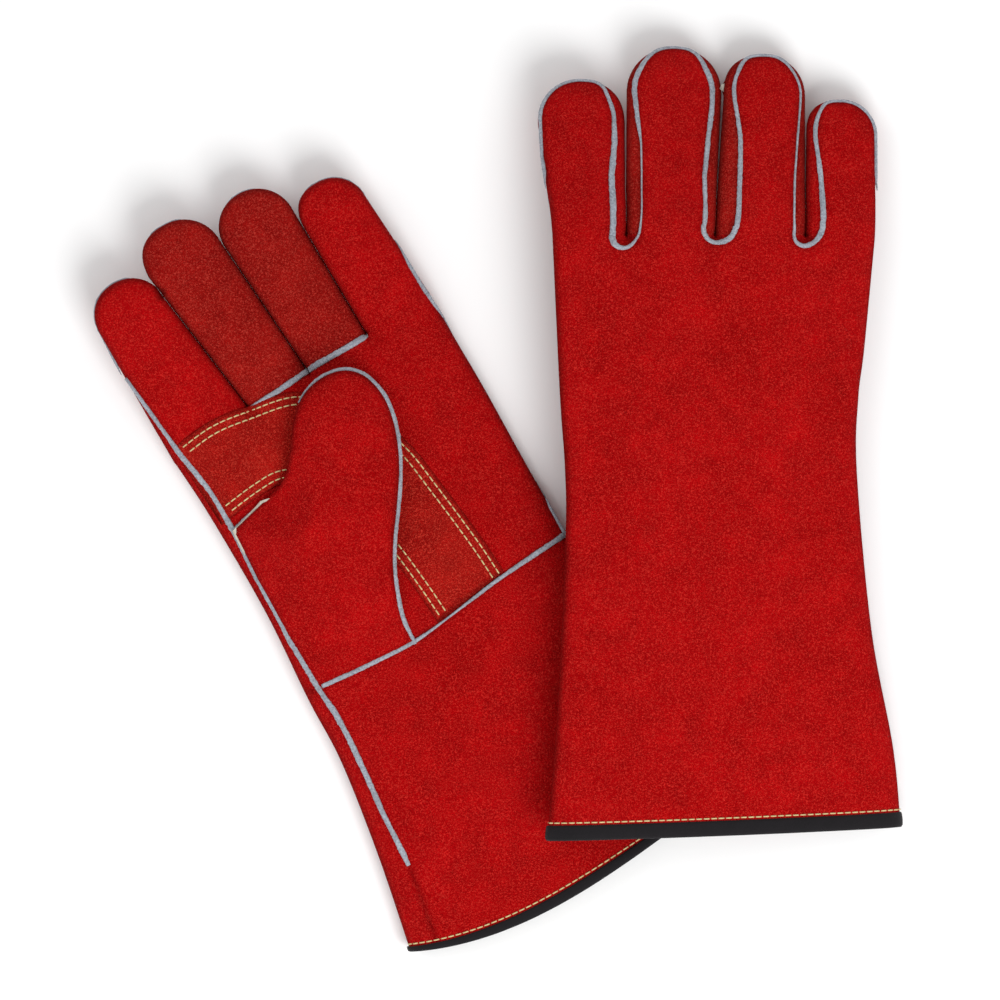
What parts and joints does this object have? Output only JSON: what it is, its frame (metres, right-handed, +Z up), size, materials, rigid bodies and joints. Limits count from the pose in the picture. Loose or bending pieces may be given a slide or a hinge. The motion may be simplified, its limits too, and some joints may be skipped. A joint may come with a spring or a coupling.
{
  "type": "pair of welding gloves",
  "caption": "Pair of gauntlet welding gloves in red split leather with grey seam welts, a stitched palm strap, folded thumbs and dark bound hems, laid flat with one across the other's cuff",
  "frame": {"origin": "on the table under the middle of the pair's bounding box", "axes": "+Z up from the table, +Y from the right glove's hem to its fingertips, +X from that glove's thumb side to its little finger"},
  "size_m": [0.3644, 0.4074, 0.0475],
  "materials": {
    "suede_red": "napped red split leather",
    "suede_light": "napped orange-red split leather",
    "welt": "rough grey leather welt",
    "binding": "black woven tape",
    "thread": "cream heat-resistant thread",
    "lining": "undyed cotton fleece"
  },
  "bodies": {
    "left_hand": {"left_back_panel": "suede_red", "left_palm_panel": "suede_red", "left_cuff_front": "suede_red", "left_thumb_wing": "suede_red", "left_palm_strap": "suede_light", "left_strap_stitching": "thread", "left_seam_welting": "welt", "left_hem_binding": "binding", "left_hem_stitching": "thread", "left_hand_lining": "lining"},
    "left_index": {"left_index_back": "suede_red", "left_index_front": "suede_red", "left_index_welt": "welt", "left_index_lining": "lining"},
    "left_middle": {"left_middle_back": "suede_red", "left_middle_front": "suede_light", "left_middle_welt": "welt", "left_middle_lining": "lining"},
    "left_ring": {"left_ring_back": "suede_red", "left_ring_front": "suede_light", "left_ring_welt": "welt", "left_ring_lining": "lining"},
    "left_little": {"left_little_back": "suede_red", "left_little_front": "suede_red", "left_little_welt": "welt", "left_little_lining": "lining"},
    "left_thumb": {"left_thumb_front": "suede_red", "left_thumb_back": "suede_red", "left_thumb_welt": "welt", "left_thumb_lining": "lining"},
    "right_hand": {"right_back_panel": "suede_red", "right_palm_panel": "suede_red", "right_cuff_front": "suede_red", "right_thumb_wing": "suede_red", "right_palm_strap": "suede_light", "right_strap_stitching": "thread", "right_seam_welting": "welt", "right_hem_binding": "binding", "right_hem_stitching": "thread", "right_hand_lining": "lining"},
    "right_index": {"right_index_back": "suede_red", "right_index_front": "suede_red", "right_index_welt": "welt", "right_index_lining": "lining"},
    "right_middle": {"right_middle_back": "suede_red", "right_middle_front": "suede_light", "right_middle_welt": "welt", "right_middle_lining": "lining"},
    "right_ring": {"right_ring_back": "suede_red", "right_ring_front": "suede_light", "right_ring_welt": "welt", "right_ring_lining": "lining"},
    "right_little": {"right_little_back": "suede_red", "right_little_front": "suede_red", "right_little_welt": "welt", "right_little_lining": "lining"},
    "right_thumb": {"right_thumb_front": "suede_red", "right_thumb_back": "suede_red", "right_thumb_welt": "welt", "right_thumb_lining": "lining"}
  },
  "joints": [
    {"name": "left_index_flex", "type": "hinge", "parent": "left_hand", "child": "left_index", "pos_m": [-0.1285, 0.02814, 0.017], "axis": [0.8312, 0.5559, 0], "range_deg": [0, 55]},
    {"name": "left_middle_flex", "type": "hinge", "parent": "left_hand", "child": "left_middle", "pos_m": [-0.0982, 0.0484, 0.017], "axis": [0.8312, 0.5559, 0], "range_deg": [0, 55]},
    {"name": "left_ring_flex", "type": "hinge", "parent": "left_hand", "child": "left_ring", "pos_m": [-0.07226, 0.06576, 0.017], "axis": [0.8312, 0.5559, 0], "range_deg": [0, 55]},
    {"name": "left_little_flex", "type": "hinge", "parent": "left_hand", "child": "left_little", "pos_m": [-0.04518, 0.08386, 0.017], "axis": [0.8312, 0.5559, 0], "range_deg": [0, 55]},
    {"name": "left_thumb_swing", "type": "hinge", "parent": "left_hand", "child": "left_thumb", "pos_m": [-0.07947, -0.03891, 0.0192], "axis": [0, 0, 1], "range_deg": [0, 60]},
    {"name": "right_index_flex", "type": "hinge", "parent": "right_hand", "child": "right_index", "pos_m": [0.03937, 0.11844, 0.02856], "axis": [-0.9848, 0, 0.1736], "range_deg": [0, 55]},
    {"name": "right_middle_flex", "type": "hinge", "parent": "right_hand", "child": "right_middle", "pos_m": [0.07576, 0.11844, 0.02214], "axis": [-0.9848, 0, 0.1736], "range_deg": [0, 55]},
    {"name": "right_ring_flex", "type": "hinge", "parent": "right_hand", "child": "right_ring", "pos_m": [0.11648, 0.11844, 0.01496], "axis": [-0.9848, 0, 0.1736], "range_deg": [0, 55]},
    {"name": "right_little_flex", "type": "hinge", "parent": "right_hand", "child": "right_little", "pos_m": [0.15272, 0.11844, 0.00857], "axis": [-0.9848, 0, 0.1736], "range_deg": [0, 55]},
    {"name": "right_thumb_swing", "type": "hinge", "parent": "right_hand", "child": "right_thumb", "pos_m": [0.06016, 0.01244, 0.02266], "axis": [0.1736, 0, 0.9848], "range_deg": [0, 30]},
    {"name": "right_glove_lift", "type": "slide", "parent": "left_hand", "child": "right_hand", "axis": [0, 0, 1], "range_m": [0, 0.12]}
  ]
}
